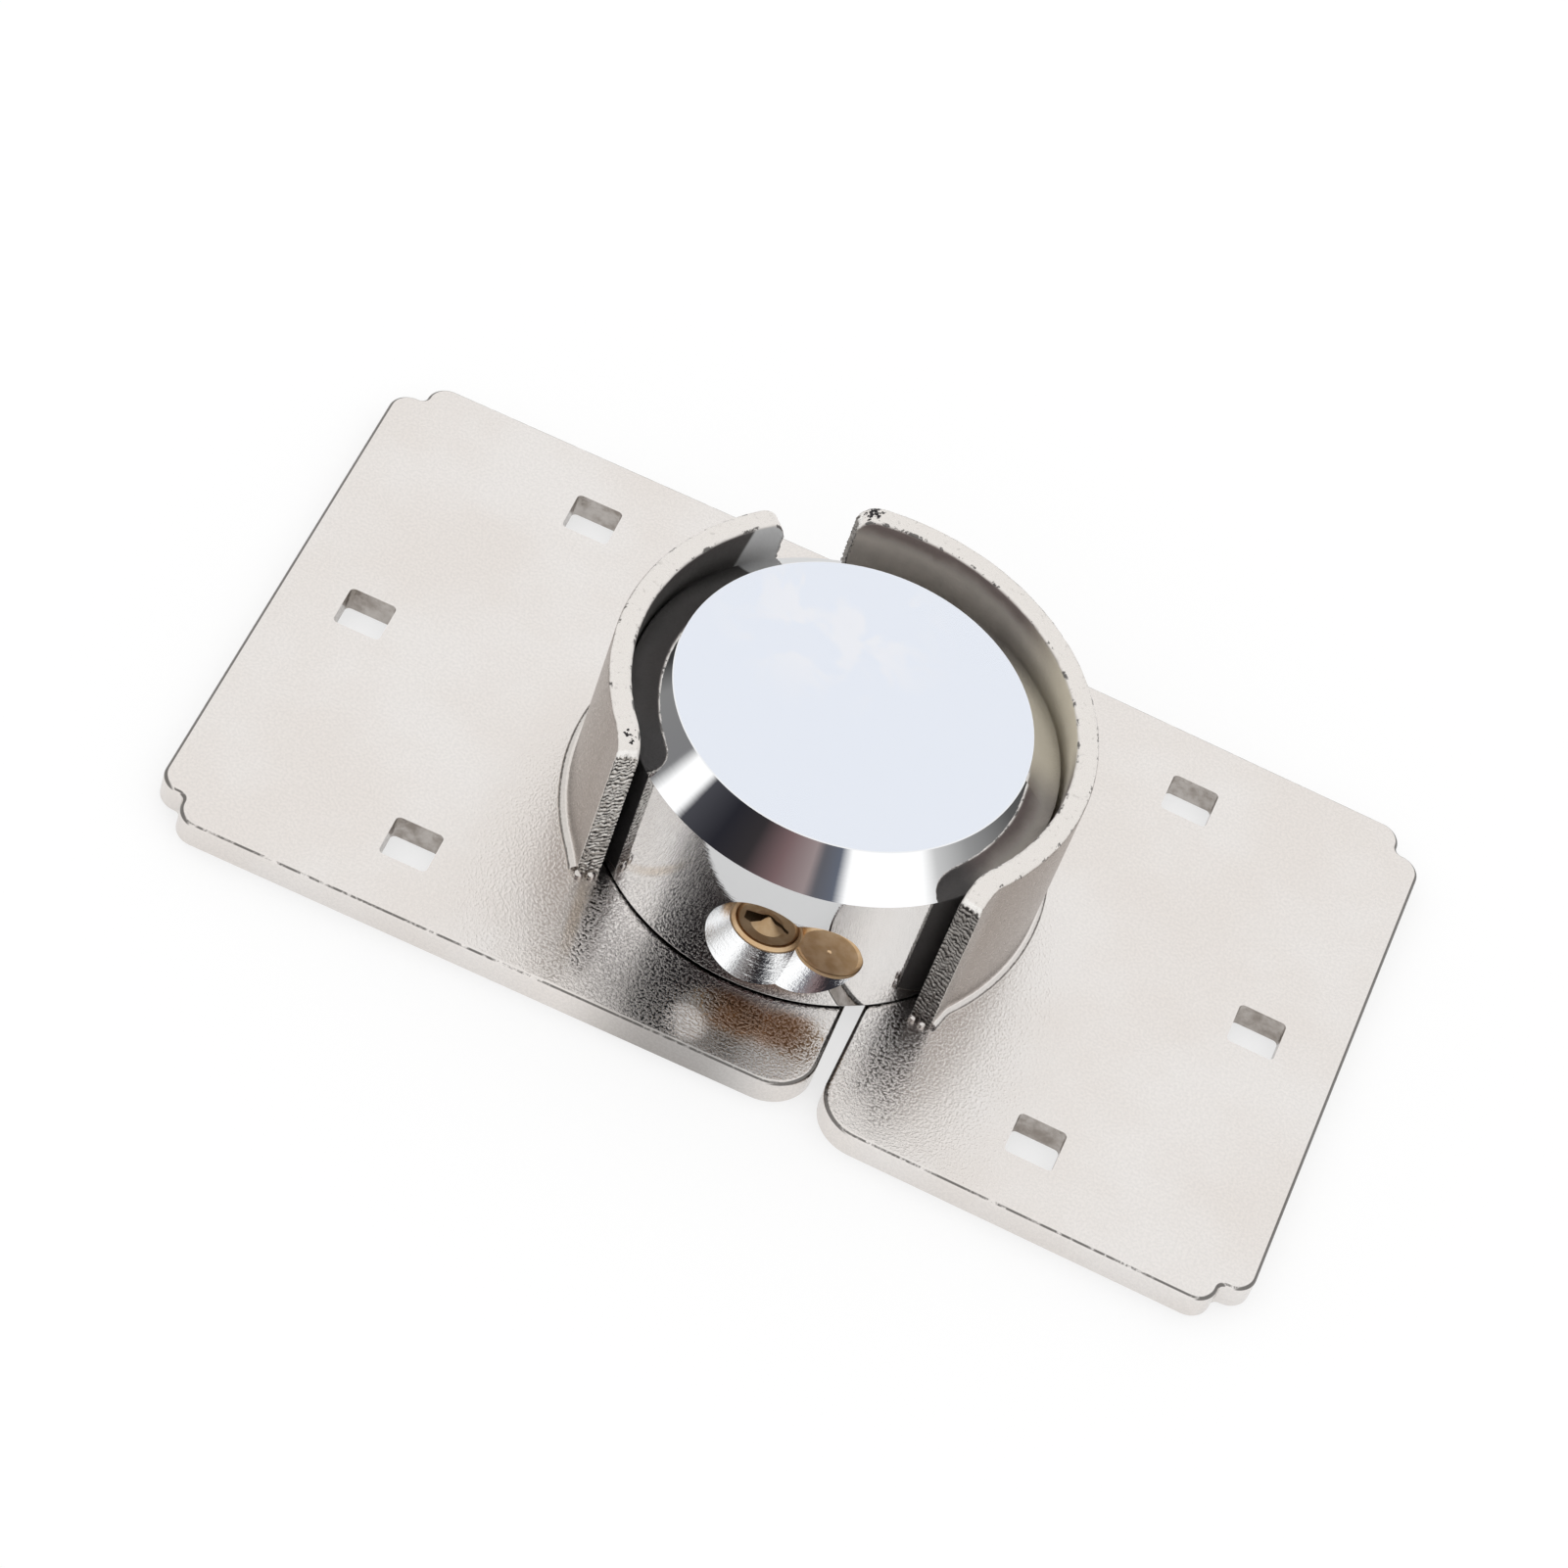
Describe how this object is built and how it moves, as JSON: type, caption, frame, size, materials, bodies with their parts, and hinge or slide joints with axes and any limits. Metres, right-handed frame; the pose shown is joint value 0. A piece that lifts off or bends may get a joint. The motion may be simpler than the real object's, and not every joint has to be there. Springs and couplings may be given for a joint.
{
  "type": "hasp and padlock",
  "caption": "Two-piece door hasp with curved shrouds round a bevelled round padlock whose hidden bolt joins the eyed lugs of both plates.",
  "frame": {"origin": "on the padlock's axis, at the underside of the two plates", "axes": "+X along the plates towards the shorter half, +Y away from the keyhole, +Z from the plates up through the padlock"},
  "size_m": [0.1968, 0.1167, 0.0388],
  "materials": {
    "left_plate_nickel": "satin nickel plate with a fine grain",
    "right_plate_nickel": "satin nickel plate with a fine grain",
    "shroud_nickel": "satin nickel plate, darker inside",
    "weld_nickel": "plated weld bead",
    "lug_nickel": "satin nickel plate",
    "body_chrome": "polished chrome plate",
    "cover_zinc": "zinc plated steel",
    "screw_steel": "plain steel",
    "core_brass": "turned brass",
    "plug_brass": "turned brass",
    "pin_brass": "turned brass",
    "spring_steel": "bright wire",
    "drive_steel": "machined steel",
    "bolt_steel": "hardened steel"
  },
  "bodies": {
    "hasp": {"left_plate": "left_plate_nickel", "right_plate": "right_plate_nickel", "left_shroud": "shroud_nickel", "right_shroud": "shroud_nickel", "left_shroud_weld": "weld_nickel", "right_shroud_weld": "weld_nickel", "left_lug": "lug_nickel", "right_lug": "lug_nickel", "left_lug_weld": "weld_nickel", "right_lug_weld": "weld_nickel"},
    "padlock": {"lock_body": "body_chrome", "base_cover": "cover_zinc", "cover_screws": "screw_steel", "core_housing": "core_brass", "core_screw": "screw_steel", "driver_pins": "pin_brass", "chamber_caps": "pin_brass", "pin_springs": "spring_steel"},
    "key_plug": {"plug": "plug_brass", "key_pins": "pin_brass", "plug_clip": "screw_steel", "drive_pinion": "drive_steel"},
    "bolt": {"locking_bolt": "bolt_steel", "bolt_rack": "drive_steel", "rack_screw": "screw_steel"}
  },
  "joints": [
    {"name": "padlock_lift", "type": "slide", "parent": "hasp", "child": "padlock", "axis": [0, 0, 1], "range_m": [0, 0.06]},
    {"name": "plug_turn", "type": "hinge", "parent": "padlock", "child": "key_plug", "pos_m": [0.0017, -0.02, 0.0167], "axis": [0, -1, 0], "range_deg": [0, 360]},
    {"name": "bolt_throw", "type": "slide", "parent": "padlock", "child": "bolt", "axis": [-1, 0, 0], "range_m": [0, 0.02015]}
  ],
  "couplings": [
    {"joint": "bolt_throw", "follows": "plug_turn", "m_per_rad": 0.0032}
  ]
}
